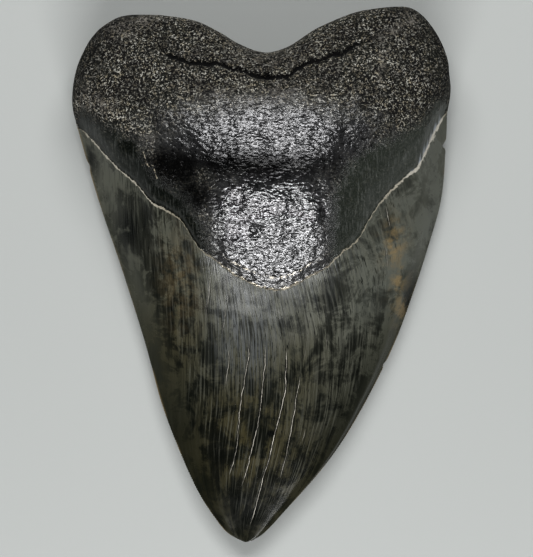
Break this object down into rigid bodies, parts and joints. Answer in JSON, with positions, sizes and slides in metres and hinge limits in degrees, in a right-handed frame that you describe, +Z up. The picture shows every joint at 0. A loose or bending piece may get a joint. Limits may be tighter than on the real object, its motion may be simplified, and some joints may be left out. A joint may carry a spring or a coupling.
{
  "type": "fossil megalodon tooth",
  "caption": "Large fossil shark tooth, broad triangular crown with serrated edges and a thick forked root, lying on its flat face.",
  "frame": {"origin": "middle of the tooth's plan, on the surface that it lies on", "axes": "+Y from the tip to the root, +X to the right of the tooth seen from above with the root away, +Z up, out of the swollen lingual face"},
  "size_m": [0.104, 0.147, 0.0345],
  "materials": {
    "fossil": "mineralised enamel and root, polished by wear, dark grey-green to black"
  },
  "bodies": {
    "root": {"tooth": "fossil"}
  },
  "joints": []
}
